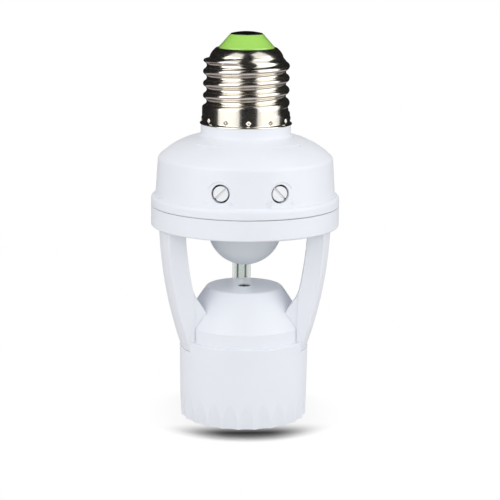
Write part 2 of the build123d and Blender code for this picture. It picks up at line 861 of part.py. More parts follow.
# The two adjusters and the trimmers that carry them on the board
for name, turn, slot_turn in (
    ("time", -knob_spread, knob_slot_turn),
    ("lux", knob_spread, -knob_slot_turn),
):
    with BuildPart() as knob:
        with BuildSketch(dial_plane(turn, knob_face_distance)):
            Circle(knob_radius)
        extrude(amount=-knob_head_length)
        with BuildSketch(dial_plane(turn, knob_face_distance - knob_head_length)):
            Circle(spigot_radius)
        extrude(amount=-spigot_length)
        with BuildSketch(dial_plane(turn, knob_face_distance)):
            Rectangle(3 * knob_radius, knob_slot_width, rotation=slot_turn)
        extrude(amount=-knob_slot_depth, mode=Mode.SUBTRACT)
    knob.part.label = name + "_knob"
    export_step(knob.part, "parts/" + name + "_knob.step")

    trimmer_face = knob_face_distance - knob_head_length - trimmer_gap
    with BuildPart() as trimmer:
        with BuildSketch(dial_plane(turn, trimmer_face)):
            Circle(trimmer_radius)
            with Locations((0, -knob_lift / 2)):
                Rectangle(2 * trimmer_radius, knob_lift)
            Circle(spigot_radius + spigot_clearance, mode=Mode.SUBTRACT)
        extrude(amount=-trimmer_depth)
    trimmer.part.label = name + "_trimmer"
    export_step(trimmer.part, "parts/" + name + "_trimmer.step")

# Four tapping screws, driven from below through the floor and the board into the housing
with BuildPart() as housing_screws:
    with BuildSketch(Plane.XY.offset(screw_seat)):
        with Locations(*screw_places):
            Circle(screw_head_radius)
    extrude(amount=-screw_head_height)
    with BuildSketch(Plane.XY.offset(screw_seat)):
        with Locations(*screw_places):
            Circle(screw_shank_radius)
    extrude(amount=screw_length)
    with BuildSketch(Plane.XY.offset(screw_seat - screw_head_height)):
        with Locations(*screw_places):
            Rectangle(2 * cross_slot_share * screw_head_radius, cross_slot_width)
            Rectangle(cross_slot_width, 2 * cross_slot_share * screw_head_radius)
    extrude(amount=cross_slot_depth, mode=Mode.SUBTRACT)
housing_screws.part.label = "housing_screws"
export_step(housing_screws.part, "parts/housing_screws.step")

# Clear sleeve that carries the two lamp leads from the ring down to the cone
with BuildPart() as clear_sleeve:
    with BuildSketch(Plane.XY.offset(sleeve_foot)):
        with Locations((0, sleeve_offset)):
            Circle(sleeve_radius)
            Circle(sleeve_bore_radius, mode=Mode.SUBTRACT)
    extrude(amount=sleeve_top - sleeve_foot)
clear_sleeve.part.label = "clear_sleeve"
export_step(clear_sleeve.part, "parts/clear_sleeve.step")


def lead(route, radii, radius):
    """A round wire along straight runs joined by tangent arcs."""
    with BuildPart() as wire:
        with BuildLine() as track:
            FilletPolyline(*route, radius=radii)
        with BuildSketch(Plane(origin=track.line @ 0, z_dir=track.line % 0)):
            Circle(radius)
        sweep()
    return wire.part


tab_top = base_top + tab_thickness
lead_level = tab_top + lead_lift
live_end = (-spring_rivet_offset, live_end_offset)
neutral_end = (neutral_end_offset, rivet_offset)

with BuildPart() as live_lead:
    add(
        lead(
            (
                (-lead_spread, sleeve_offset, board_bottom),
                (-lead_spread, sleeve_offset, lead_level),
                (live_end[0], live_end[1], lead_level),
                (live_end[0], live_end[1], tab_top),
            ),
            [lead_bend, lead_bend],
            lead_radius,
        )
    )
live_lead.part.label = "live_lead"
export_step(live_lead.part, "parts/live_lead.step")

with BuildPart() as neutral_lead:
    add(
        lead(
            (
                (lead_spread, sleeve_offset, board_bottom),
                (lead_spread, sleeve_offset, lead_level),
                (neutral_end[0], neutral_end[1], lead_level),
                (neutral_end[0], neutral_end[1], tab_top),
            ),
            [lead_bend, lead_bend],
            lead_radius,
        )
    )
neutral_lead.part.label = "neutral_lead"
export_step(neutral_lead.part, "parts/neutral_lead.step")

# Leads from the cap down to the board
contact_stem_end = insulator_top - contact_stem_length
with BuildPart() as cap_live_lead:
    add(
        lead(
            (
                (0, 0, contact_stem_end),
                (0, 0, contact_stem_end - cap_lead_drop),
                (cap_lead_spread, -cap_lead_front, contact_stem_end - 2 * cap_lead_drop),
                (cap_lead_spread, -cap_lead_front, board_top),
            ),
            [cap_lead_bend, cap_lead_bend],
            cap_lead_radius,
        )
    )
cap_live_lead.part.label = "cap_live_lead"
export_step(cap_live_lead.part, "parts/cap_live_lead.step")

with BuildPart() as cap_neutral_lead:
    add(
        lead(
            (
                (-cap_bore_radius + cap_lead_gap, 0, neck_hole_level),
                (-neck_bore_radius + cap_lead_neck_gap, 0, neck_hole_level),
                (-neck_bore_radius + cap_lead_neck_gap, 0, neck_top - cap_lead_neck_drop),
                (-cap_lead_spread, -cap_lead_front, neck_top - cap_lead_neck_drop - cap_lead_drop),
                (-cap_lead_spread, -cap_lead_front, board_top),
            ),
            [cap_lead_exit_bend, cap_lead_bend, cap_lead_bend],
            cap_lead_radius,
        )
    )
cap_neutral_lead.part.label = "cap_neutral_lead"
export_step(cap_neutral_lead.part, "parts/cap_neutral_lead.step")

# Contact base: heat-resistant disc drawn up against the step of the housing by the centre screw
with BuildPart() as contact_base:
    with BuildSketch(Plane.XY.offset(base_bottom)):
        Circle(socket_bore_radius - base_clearance)
    extrude(amount=base_thickness)
    with BuildSketch(Plane.XY.offset(base_top)):
        Circle(base_post_radius)
    extrude(amount=post_ceiling - base_post_clearance - base_top)
    with BuildSketch(Plane.XY.offset(post_ceiling)):
        Circle(base_screw_radius + pilot_clearance)
    extrude(amount=-base_screw_length, mode=Mode.SUBTRACT)
    with BuildSketch(Plane.XY.offset(base_bottom)):
        with Locations((0, rivet_offset), (0, -rivet_offset), (-spring_rivet_offset, 0)):
            Circle(rivet_radius + rivet_clearance)
    extrude(amount=base_thickness, mode=Mode.SUBTRACT)
contact_base.part.label = "contact_base"
export_step(contact_base.part, "parts/contact_base.step")

# Screw that holds the contact base, sunk in the crown of the cone
with BuildPart() as base_screw:
    with BuildSketch(Plane.XY.offset(crown_level - base_screw_recess)):
        Circle(base_screw_head_radius)
    extrude(amount=base_screw_head_height)
    with BuildSketch(Plane.XY.offset(crown_level - base_screw_recess)):
        Circle(base_screw_radius)
    extrude(amount=-base_screw_length)
    with BuildSketch(Plane.XY.offset(crown_level - base_screw_recess + base_screw_head_height)):
        Rectangle(2 * cross_slot_share * base_screw_head_radius, cross_slot_width)
        Rectangle(cross_slot_width, 2 * cross_slot_share * base_screw_head_radius)
    extrude(amount=-cross_slot_depth, mode=Mode.SUBTRACT)
base_screw.part.label = "base_screw"
export_step(base_screw.part, "parts/base_screw.step")

# Threaded shell that takes the lamp, with an inward flange riveted under the base. Its wall is the
# envelope of the rolled thread up to the last turn, and bare sheet above it.
with BuildPart() as thread_shell:
    with BuildSketch(Plane.XY.offset(shell_bottom)):
        Circle(shell_radius)
        Circle(shell_thread_radius, mode=Mode.SUBTRACT)
    extrude(amount=shell_thread_length)
    with BuildSketch(Plane.XY.offset(shell_thread_top)):
        Circle(shell_radius)
        Circle(shell_thread_radius + shell_thread_depth, mode=Mode.SUBTRACT)
    extrude(amount=base_bottom - shell_thread_top)
    with BuildSketch(Plane.XY.offset(base_bottom - shell_flange)):
        Circle(shell_radius)
        Circle(shell_flange_bore_radius, mode=Mode.SUBTRACT)
        with Locations((0, rivet_offset), (0, -rivet_offset)):
            Circle(rivet_radius + rivet_clearance, mode=Mode.SUBTRACT)
    extrude(amount=shell_flange)
thread_shell.part.label = "thread_shell"
export_step(thread_shell.part, "parts/thread_shell.step")

# Sprung centre contact: a brass strip cranked down towards the lamp
with BuildPart() as centre_spring:
    with BuildSketch(Plane.XZ):
        with BuildLine():
            FilletPolyline(
                (-spring_rivet_offset - spring_heel, base_bottom),
                (-spring_rivet_offset + spring_flat, base_bottom),
                (spring_rivet_offset - spring_toe - spring_toe_gap, base_bottom - spring_drop),
                (spring_rivet_offset - spring_toe_gap, base_bottom - spring_drop),
                radius=[spring_bend, spring_bend],
            )
            offset(amount=spring_thickness, side=Side.RIGHT)
        make_face()
    extrude(amount=spring_width / 2, both=True)
    with BuildSketch(Plane.XY.offset(base_bottom)):
        with Locations((-spring_rivet_offset, 0)):
            Circle(rivet_radius + rivet_clearance)
    extrude(amount=-spring_thickness, mode=Mode.SUBTRACT)
centre_spring.part.label = "centre_spring"
export_step(centre_spring.part, "parts/centre_spring.step")

# Terminal strap of the threaded shell, on top of the base
with BuildPart() as shell_strap:
    with BuildSketch(Plane.XY.offset(base_top)):
        with Locations((tab_length / 2 - tab_width / 2, rivet_offset)):
            Rectangle(tab_length, tab_width)
        with Locations((0, rivet_offset)):
            Circle(rivet_radius + rivet_clearance, mode=Mode.SUBTRACT)
    extrude(amount=tab_thickness)
shell_strap.part.label = "shell_strap"
export_step(shell_strap.part, "parts/shell_strap.step")

# Terminal tab of the centre contact, on top of the base
with BuildPart() as spring_tab:
    with BuildSketch(Plane.XY.offset(base_top)):
        with Locations((-spring_rivet_offset, tab_length / 2 - tab_width / 2)):
            Rectangle(tab_width, tab_length)
        with Locations((-spring_rivet_offset, 0)):
            Circle(rivet_radius + rivet_clearance, mode=Mode.SUBTRACT)
    extrude(amount=tab_thickness)
spring_tab.part.label = "spring_tab"
export_step(spring_tab.part, "parts/spring_tab.step")


def rivet(x, y, bottom, top):
    """A rivet between two levels, with a flat head outside each of them."""
    with BuildPart() as piece:
        with BuildSketch(Plane.XY.offset(bottom)):
            with Locations((x, y)):
                Circle(rivet_radius)
        extrude(amount=top - bottom)
        for level, growth in ((bottom, -rivet_head_height), (top, rivet_head_height)):
            with BuildSketch(Plane.XY.offset(level)):
                with Locations((x, y)):
                    Circle(rivet_head_radius)
            extrude(amount=growth)
    return piece.part


# Rivets: two through the flange of the shell, one through the centre spring
with BuildPart() as shell_rivets:
    add(rivet(0, rivet_offset, base_bottom - shell_flange, tab_top))
    add(rivet(0, -rivet_offset, base_bottom - shell_flange, base_top))
shell_rivets.part.label = "shell_rivets"
export_step(shell_rivets.part, "parts/shell_rivets.step")

with BuildPart() as spring_rivet:
    add(rivet(-spring_rivet_offset, 0, base_bottom - spring_thickness, tab_top))
spring_rivet.part.label = "spring_rivet"
export_step(spring_rivet.part, "parts/spring_rivet.step")
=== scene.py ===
"""Motion sensor lamp holder: the look of every piece, from the lamp socket up to the screw cap."""

import math

import bmesh
import bpy
from mathutils import Matrix, Vector
from mathutils.bvhtree import BVHTree


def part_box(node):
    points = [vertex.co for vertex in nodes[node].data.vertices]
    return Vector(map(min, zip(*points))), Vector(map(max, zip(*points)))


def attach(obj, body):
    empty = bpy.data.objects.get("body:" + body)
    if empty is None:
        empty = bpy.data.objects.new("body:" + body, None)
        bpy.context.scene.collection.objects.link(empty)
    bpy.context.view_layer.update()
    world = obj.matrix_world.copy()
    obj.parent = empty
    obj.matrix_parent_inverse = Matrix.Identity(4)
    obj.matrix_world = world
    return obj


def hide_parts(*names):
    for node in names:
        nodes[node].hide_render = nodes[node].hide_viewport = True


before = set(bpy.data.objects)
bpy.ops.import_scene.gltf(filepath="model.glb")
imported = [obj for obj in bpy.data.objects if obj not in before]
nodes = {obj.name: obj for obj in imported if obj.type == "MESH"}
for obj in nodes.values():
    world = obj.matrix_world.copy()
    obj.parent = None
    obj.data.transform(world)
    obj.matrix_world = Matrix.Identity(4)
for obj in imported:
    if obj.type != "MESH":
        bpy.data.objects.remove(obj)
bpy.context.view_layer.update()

# Contact base: a disc and post of heat-resistant thermoset, compression-moulded in a warm off-white.
# Its filler gives a matt skin with a fine speckle, and it is seen from below, inside the socket. The
# centre screw draws it up against the step of the housing.
mm = 0.001
shade_patch = 9.0


def to_linear(code):
    """An sRGB hex colour such as "#E8ECF2" as linear RGBA."""
    values = [int(code[i:i + 2], 16) / 255 for i in (1, 3, 5)]
    return [v / 12.92 if v <= 0.04045 else ((v + 0.055) / 1.055) ** 2.4 for v in values] + [1.0]


def add_node(tree, kind, inputs, **settings):
    """Adds a node with its settings, and fills its inputs with values or with other nodes' outputs."""
    made = tree.nodes.new(kind)
    for field, value in settings.items():
        setattr(made, field, value)
    for name, value in inputs.items():
        if isinstance(value, bpy.types.NodeSocket):
            tree.links.new(value, made.inputs[name])
        else:
            made.inputs[name].default_value = value
    return made


def cleared_tree(owner):
    """The node tree of a material or of the world, emptied."""
    owner.use_nodes = True
    owner.node_tree.nodes.clear()
    return owner.node_tree


def drifting_colour(tree, place, low, high, patch, detail):
    """A colour that drifts between two near shades, in patches of about one size in millimetres."""
    drift = add_node(
        tree, "ShaderNodeTexNoise", {"Vector": place, "Scale": 1 / (patch * mm), "Detail": detail}
    )
    shades = {"Factor": drift.outputs["Fac"], "A": to_linear(low), "B": to_linear(high)}
    return add_node(tree, "ShaderNodeMix", shades, data_type="RGBA").outputs["Result"]


def new_surface(name, low, high, grain, relief, roughness, **shader_values):
    """A surface between two near shades, whose skin has a grain of one size. Grain and relief are in
    millimetres and used as given, a grain too fine to show being given coarser; roughness is its
    lowest and highest value."""
    material = bpy.data.materials.new(name)
    tree = cleared_tree(material)
    place = add_node(tree, "ShaderNodeTexCoord", {}).outputs["Object"]
    colour = drifting_colour(tree, place, low, high, shade_patch, 2.0)
    skin = add_node(
        tree, "ShaderNodeTexNoise", {"Vector": place, "Scale": 1 / (grain * mm), "Detail": 3.0}
    ).outputs["Fac"]
    sheen = add_node(
        tree, "ShaderNodeMapRange", {"Value": skin, "To Min": roughness[0], "To Max": roughness[1]}
    )
    bump = add_node(tree, "ShaderNodeBump", {"Height": skin, "Distance": relief * mm, "Strength": 1.0})
    shader = add_node(
        tree,
        "ShaderNodeBsdfPrincipled",
        {
            "Base Color": colour,
            "Roughness": sheen.outputs["Result"],
            "Normal": bump.outputs["Normal"],
            **shader_values,
        },
    )
    add_node(tree, "ShaderNodeOutputMaterial", {"Surface": shader.outputs["BSDF"]})
    return material


def apply_finish(material, *names):
    """Gives carried-over nodes their material."""
    for name in names:
        nodes[name].data.materials.clear()
        nodes[name].data.materials.append(material)


thermoset = new_surface(
    "moulded_thermoset", "#E4DFD2", "#EEEADF", grain=0.35, relief=0.01, roughness=(0.45, 0.6)
)
apply_finish(thermoset, "contact_base")

# Lamp shell: a drawn steel cup, nickel-plated, with the lamp's thread rolled into its wall. Plating
# gives it a warm grey mirror with a slight ripple from the rolling. Two rivets hold its inward
# flange under the base, and the flange is open in the middle for the centre contact.
thread_pitch = 3.629
thread_arc = 1.0225
thread_depth = 1.1
sheet_smooth_angle = 40


def thread_share(along):
    """The rolled thread's height, from 0 at its root to 1 at its crest, by the distance from a crest.
    Crest and root are arcs of one radius that meet halfway up the flank."""
    away = abs((along + thread_pitch / 2) % thread_pitch - thread_pitch / 2)
    if away < thread_pitch / 4:
        rise = thread_depth - thread_arc + math.sqrt(thread_arc**2 - away**2)
    else:
        rise = thread_arc - math.sqrt(thread_arc**2 - (thread_pitch / 2 - away) ** 2)
    return rise / thread_depth


def ease(value, start, end):
    """Rises gently from 0 at start to 1 at end."""
    share = min(max((value - start) / (end - start), 0.0), 1.0)
    return share * share * (3 - 2 * share)


def levels(low, high, step):
    """Heights from low to high, both included, about one step apart."""
    count = max(round((high - low) / step), 1)
    return [low + (high - low) * i / count for i in range(count + 1)]


def full_circle(count):
    """Turns in radians, evenly spaced once round the axis."""
    return [math.tau * i / count for i in range(count)]


def put_in_scene(name, data):
    """A new object in the scene, made from its data."""
    made = bpy.data.objects.new(name, data)
    bpy.context.scene.collection.objects.link(made)
    return made


def new_piece(name, corners, faces, material, smooth_angle):
    """A mesh object from corners in millimetres, smooth where its faces meet below an angle."""
    mesh = bpy.data.meshes.new(name)
    mesh.from_pydata([tuple(value * mm for value in corner) for corner in corners], [], faces)
    form = bmesh.new()
    form.from_mesh(mesh)
    bmesh.ops.recalc_face_normals(form, faces=form.faces)
    form.to_mesh(mesh)
    form.free()
    mesh.shade_smooth()
    mesh.set_sharp_from_angle(angle=math.radians(smooth_angle))
    mesh.materials.append(material)
    return put_in_scene(name, mesh)


def turned_sheet(name, turns, section, material):
    """A closed sheet round the axis: section gives its loop of (radius, height) points at each turn."""
    loops = [section(turn) for turn in turns]
    count = len(loops[0])
    corners = [
        (radius * math.cos(turn), radius * math.sin(turn), height)
        for turn, loop in zip(turns, loops)
        for radius, height in loop
    ]
    faces = []
    for i in range(len(turns)):
        beside = (i + 1) % len(turns)
        for j in range(count):
            above = (j + 1) % count
            faces.append((i * count + j, beside * count + j, beside * count + above, i * count + above))
    return new_piece(name, corners, faces, material, sheet_smooth_angle)


shell_low, shell_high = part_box("thread_shell")
shell_mouth = shell_low[2] / mm
shell_flange_top = shell_high[2] / mm
shell_outer = shell_high[0] / mm
shell_sheet = 0.5
shell_flange = 0.4
shell_flange_bore = 8.0
shell_root = shell_outer - shell_sheet
shell_thread_depth = 1.0
shell_thread_top = shell_mouth + 16.4
shell_thread_fade = 1.6
shell_level_step = 0.17
shell_facets = 160


def shell_section(turn):
    """The lamp shell's wall at one turn: up inside, along the flange and down outside."""
    wall = []
    for height in levels(shell_mouth, shell_thread_top, shell_level_step):
        fade = 1 - ease(height, shell_thread_top - shell_thread_fade, shell_thread_top)
        share = thread_share(height - shell_mouth - thread_pitch * turn / math.tau)
        wall.append((shell_root - shell_thread_depth * share * fade, height))
    flange = [
        (shell_root, shell_flange_top - shell_flange),
        (shell_flange_bore, shell_flange_top - shell_flange),
        (shell_flange_bore, shell_flange_top),
        (shell_outer, shell_flange_top),
    ]
    return wall + flange + [(radius + shell_sheet, height) for radius, height in reversed(wall)]


nickel = new_surface(
    "nickel_plated_steel", "#EBE5D9", "#F2EDE2",
    grain=2.4, relief=0.006, roughness=(0.15, 0.2), Metallic=1.0,
)
lamp_shell = turned_sheet("rolled_lamp_shell", full_circle(shell_facets), shell_section, nickel)
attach(lamp_shell, "holder")
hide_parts("thread_shell")

# Centre contact of the socket and the terminals: half-hard brass strip, stamped and cranked. Rolling
# leaves it a satin yellow metal. One rivet holds the spring, and the terminals carry the leads.
brass = new_surface(
    "stamped_brass_strip", "#C9A94F", "#D9BC6A",
    grain=0.5, relief=0.004, roughness=(0.22, 0.34), Metallic=1.0,
)
apply_finish(brass, "centre_spring", "shell_strap", "spring_tab")

# Rivets and screws: zinc-plated steel, a dull bright grey with a faint grain. The rivets are headed
# through the base, and the four housing screws are sunk in the underside of the ring.
zinc = new_surface(
    "zinc_plated_steel", "#B9BBBC", "#C9CBCC",
    grain=0.3, relief=0.004, roughness=(0.28, 0.42), Metallic=1.0,
)
apply_finish(zinc, "shell_rivets", "spring_rivet", "housing_screws")

# Centre screw: sunk in the crown of the cone, it pulls the contact base up. Its steel is coloured
# dark grey, so the recess reads as a small dark arch from the side.
dark_grey_screw = new_surface(
    "dark_grey_screw_steel", "#4A4B4F", "#57585C",
    grain=0.3, relief=0.004, roughness=(0.4, 0.55), Metallic=1.0,
)
apply_finish(dark_grey_screw, "base_screw")

# Socket housing: skirt and cone in one moulding of white polyester resin. Its satin skin comes from
# a finely eroded mould, drawn coarser than it is, which breaks every reflection into a soft glow. The
# flutes of the rim give fingers a grip on the lamp's end.
white = new_surface(
    "moulded_white_polyester", "#E9ECF3", "#EDF0F6", grain=0.25, relief=0.004, roughness=(0.36, 0.44)
)
apply_finish(white, "socket_housing")

# Leads: tinned copper wires in soft insulation, smooth from the extruder. Two grey ones run down the
# sleeve to the lamp contacts, and a red and a grey one run up into the cap.
insulation = new_surface(
    "grey_wire_insulation", "#B9BDC0", "#C4C8CB", grain=0.4, relief=0.003, roughness=(0.35, 0.45)
)
apply_finish(insulation, "live_lead", "neutral_lead", "cap_neutral_lead")
red_insulation = new_surface(
    "red_wire_insulation", "#A0221C", "#B22A22", grain=0.4, relief=0.003, roughness=(0.35, 0.45)
)
apply_finish(red_insulation, "cap_live_lead")

# Clear sleeve: an extruded tube of soft clear vinyl round the two leads, pushed into its seats in the
# cone and in the floor of the ring. It is a little grey and green in its depth.
see_through = {"Transmission Weight": 1.0}
clear_vinyl = new_surface(
    "extruded_clear_vinyl", "#DCE1DE", "#E3E8E4",
    grain=1.5, relief=0.004, roughness=(0.05, 0.1), **see_through,
)
apply_finish(clear_vinyl, "clear_sleeve")

# Leg frame: ring, floor, screw posts and both legs in one moulding of the same white resin as the
# socket housing, with the same satin skin.
apply_finish(white, "leg_frame")

# Sensor lens: a thin moulded dome of polyethylene, milky so that infrared passes and sight doesn't.
# It is held by a white spacer ring under the board, and its skin is dull and even.
milky = new_surface(
    "milky_polyethylene", "#D5DADF", "#DCE1E6", grain=0.6, relief=0.004, roughness=(0.42, 0.5)
)
apply_finish(milky, "sensor_lens")
apply_finish(white, "lens_spacer")

# Sensors under the board: a plated can with a polished dark infrared filter over its window, and a
# light cell whose ceramic disc lies under amber lacquer.
apply_finish(nickel, "pyro_sensor")
dark_filter = new_surface(
    "polished_dark_filter", "#15151A", "#1B1B22", grain=1.0, relief=0.001, roughness=(0.05, 0.09)
)
apply_finish(dark_filter, "sensor_filter")
amber = new_surface(
    "amber_lacquer", "#C2702A", "#CE7E36", grain=0.8, relief=0.004, roughness=(0.15, 0.25)
)
apply_finish(amber, "light_sensor")

# Circuit board and what it carries: glass-fibre laminate under green lacquer, black and yellow
# moulded cases, and two blue trimmers that the adjusters turn.
laminate = new_surface(
    "green_lacquered_laminate", "#1F5B34", "#28683D", grain=0.5, relief=0.004, roughness=(0.25, 0.35)
)
apply_finish(laminate, "circuit_board")
black_case = new_surface(
    "black_moulded_case", "#161718", "#1D1E1F", grain=0.3, relief=0.004, roughness=(0.4, 0.5)
)
apply_finish(black_case, "relay", "smoothing_capacitor", "control_chip")
yellow_case = new_surface(
    "yellow_moulded_case", "#D9A32B", "#E0AE3C", grain=0.3, relief=0.004, roughness=(0.35, 0.45)
)
apply_finish(yellow_case, "mains_capacitor")
blue_case = new_surface(
    "blue_moulded_case", "#28487F", "#2F518C", grain=0.3, relief=0.004, roughness=(0.35, 0.45)
)
apply_finish(blue_case, "time_trimmer", "lux_trimmer")

# Adjusters: two slotted knobs of white resin, a shade whiter than the housing round them. Each stands
# in a round hole of the wall and turns with its trimmer.
knob_white = new_surface(
    "moulded_white_knob", "#ECEEF1", "#F1F3F5", grain=0.25, relief=0.003, roughness=(0.3, 0.38)
)
apply_finish(knob_white, "time_knob", "lux_knob")

# Upper housing: the domed cover with the neck for the cap, moulded in the same white resin, with a
# drafted wall and a rounded shoulder.
apply_finish(white, "upper_housing")

# Dial marks: low ribs moulded on the wall round each adjuster. An arc stands over each knob, with
# less and more at its ends on one dial, and a small sun and moon on the other.
mark_width = 0.32
mark_height = 0.2
mark_bite = 0.15
mark_smooth_angle = 30
mark_arc_radius = 3.6
mark_spread = 4.7
mark_fall_angle = math.radians(35)
mark_size = 0.62
stroke_gap = 0.01
ray_reaches = (mark_size + 0.35, mark_size + 0.65)
ray_angles = [math.radians(angle) for angle in range(0, 360, 45)]
cast_distance = 40.0

# A rib's section, as shares of half its width and heights above the wall, in which its foot is sunk.
mark_section = [(1, -mark_bite), (0.6, mark_height), (-0.6, mark_height), (-1, -mark_bite)]
wall_skin = BVHTree.FromObject(nodes["upper_housing"], bpy.context.evaluated_depsgraph_get())


def on_wall(turn, level, across, up, lift):
    """A point in millimetres on the outside of the wall, beside and above an adjuster's centre."""
    outward = Vector((math.sin(turn), -math.cos(turn), 0))
    sideways = Vector((math.cos(turn), math.sin(turn), 0))
    start = (outward * cast_distance + sideways * across + Vector((0, 0, level + up))) * mm
    hit = wall_skin.ray_cast(start, -outward)[0]
    return tuple(hit / mm + outward * lift)


def arc_points(across, up, radius, start, end, count):
    """Points along an arc, from one angle to another, anticlockwise from the right."""
    angles = [math.radians(start + (end - start) * i / count) for i in range(count + 1)]
    return [(across + radius * math.cos(a), up + radius * math.sin(a)) for a in angles]


def dial_marks(name, knob, strokes):
    """Low ribs on the wall round an adjuster, each along a line of (across, up) points."""
    low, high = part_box(knob)
    centre = [(a + b) / 2 for a, b in zip(low, high)]
    turn = math.atan2(centre[0], -centre[1])
    level = centre[2] / mm
    sides = len(mark_section)
    corners, faces = [], []
    for stroke in strokes:
        first = len(corners)
        for i, (across, up) in enumerate(stroke):
            before, after = stroke[max(i - 1, 0)], stroke[min(i + 1, len(stroke) - 1)]
            along = Vector((after[0] - before[0], after[1] - before[1])).normalized()
            side = Vector((-along[1], along[0])) * mark_width / 2
            for share, lift in mark_section:
                corners.append(on_wall(turn, level, across + share * side[0], up + share * side[1], lift))
        last = len(corners) - sides
        for ring in range(first, last, sides):
            for j in range(sides):
                k = (j + 1) % sides
                faces.append((ring + j, ring + k, ring + sides + k, ring + sides + j))
        faces.append(tuple(range(first, first + sides)))
        faces.append(tuple(range(last, last + sides)))
    marks = new_piece(name, corners, faces, white, mark_smooth_angle)
    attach(marks, "holder")


low_side = mark_spread * math.cos(mark_fall_angle)
low_drop = -mark_spread * math.sin(mark_fall_angle)
scale_arc = arc_points(0, 0, mark_arc_radius, start=25, end=155, count=20)
less = [(-low_side - mark_size, low_drop), (-low_side + mark_size, low_drop)]
more = [(low_side - mark_size, low_drop), (low_side + mark_size, low_drop)]
more_up = [(low_side, low_drop + mark_width / 2 + stroke_gap), (low_side, low_drop + mark_size)]
more_down = [(low_side, low_drop - mark_width / 2 - stroke_gap), (low_side, low_drop - mark_size)]
dial_marks("time_dial_marks", "time_knob", [scale_arc, less, more, more_up, more_down])
sun = arc_points(-low_side, low_drop, mark_size, start=0, end=350, count=16)
rays = [
    [(-low_side + reach * math.cos(angle), low_drop + reach * math.sin(angle)) for reach in ray_reaches]
    for angle in ray_angles
]
moon = arc_points(low_side, low_drop, mark_size, start=60, end=300, count=12)
dial_marks("lux_dial_marks", "lux_knob", [scale_arc, sun, moon] + rays)

# Screw shell of the cap: drawn steel sheet, rolled with the round lamp thread, flared at its rim and
# nickel-plated to a warm mirror. Twelve punched stakes hold it to the neck, each a small diamond
# with a pit, and the thread runs out into the smooth band below it and under the dome above it.
cap_low, cap_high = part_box("screw_shell")
cap_seat = cap_low[2] / mm
cap_top = cap_high[2] / mm
cap_sheet = 0.5
cap_rim_radius = cap_high[0] / mm
cap_band_radius = 13.35
cap_band_foot = (cap_band_radius + 0.01, cap_seat + 0.72)
cap_band_top = cap_seat + 5.1
cap_thread_root = 12.0
cap_thread_top = cap_top - 3.5
cap_crest_start = 97.65
cap_dome_foot = 11.2
cap_dome_radius = 9.2
cap_dome_bulge = 0.55
cap_opening = 8.5
cap_bore = cap_thread_root - cap_sheet
cap_bore_drop = 0.2
cap_lip_round = 0.12
stake_count = 12
stake_level = cap_seat + 1.6
stake_half = 0.8
stake_rise = 0.2
stake_pit = 0.3
stake_pit_share = 0.6
stake_edge_share = 0.3

# The flared rim's rounded edge, as steps in from its radius and up from the seat.
cap_rim_bead = [(0.12, 0.0), (0.0, 0.12), (0.0, 0.26), (0.12, 0.42), (0.38, 0.52), (0.56, 0.62)]

# The thread's ends, in radians along the thread from its first crest, and the heights between which
# its grooves settle to an even depth and its root becomes the dome. The last ridge gets steeper above
# in two stages, each with how much it adds, where it begins and where it is complete.
groove_start = (math.radians(-60), math.radians(35))
last_ridge = 3
ridge_end = (last_ridge * math.tau + math.radians(190), last_ridge * math.tau + math.radians(320))
last_ridge_stages = [(1.5, 0, math.pi), (3, math.pi, 1.4 * math.pi)]
groove_settles = (cap_band_top, cap_band_top + 2.4)
root_meets_dome = (cap_thread_top - 0.6, cap_thread_top + 0.8)


def stake_relief(turn, height):
    """How far the punched stakes stand out of the band, or dip into it, at a place."""
    step = math.tau / stake_count
    beside = ((turn + math.pi / 2 + step / 2) % step - step / 2) * cap_band_radius
    reach = (abs(beside) + abs(height - stake_level)) / stake_half
    if reach >= 1:
        return 0.0
    if reach < stake_pit_share:
        return stake_rise - (stake_rise + stake_pit) * (1 - reach / stake_pit_share)
    return stake_rise * min((1 - reach) / stake_edge_share, 1.0)


def dome_radius(height):
    """The dome's radius at a height: its straight flank with a bulge like a shallow arc."""
    share = (height - cap_thread_top) / (cap_top - cap_thread_top)
    bulge = 4 * cap_dome_bulge * share * (1 - share)
    return cap_dome_foot + (cap_dome_radius - cap_dome_foot) * share + bulge


def wall_radius(turn, height):
    """The shell's outer radius between band and dome. The first groove grows out of the band as it
    goes round, and the last ridge, steeper above than below, sinks into the foot of the dome."""
    part = turn % math.tau
    rise = (height - cap_crest_start) / thread_pitch - part / math.tau
    groove_turn = round(rise + 0.5) * math.tau + part
    ridge_turn = round(rise) * math.tau + part
    cut = ease(groove_turn, *groove_start)
    left = 1 - ease(ridge_turn, *ridge_end)
    steepness = 1
    if rise > last_ridge:
        for added, start, end in last_ridge_stages:
            steepness += added * ease(ridge_turn - last_ridge * math.tau, start, end)
    flank = min(abs(rise - round(rise)) * steepness, 0.5)
    share = 1 - (1 - thread_share(flank * thread_pitch)) * cut
    root = cap_thread_root + (dome_radius(height) - cap_thread_root) * ease(height, *root_meets_dome)
    band_depth = cap_band_radius - cap_thread_root
    depth = thread_depth + (band_depth - thread_depth) * (1 - ease(height, *groove_settles))
    return root + depth * share * left


stake_levels = levels(stake_level - stake_half, stake_level + stake_half, step=0.09)
thread_levels = levels(stake_level + stake_half + 0.12, cap_thread_top + 2.2, step=thread_pitch / 26)
dome_levels = levels(cap_thread_top + 2.4, cap_top - 0.1, step=0.2)


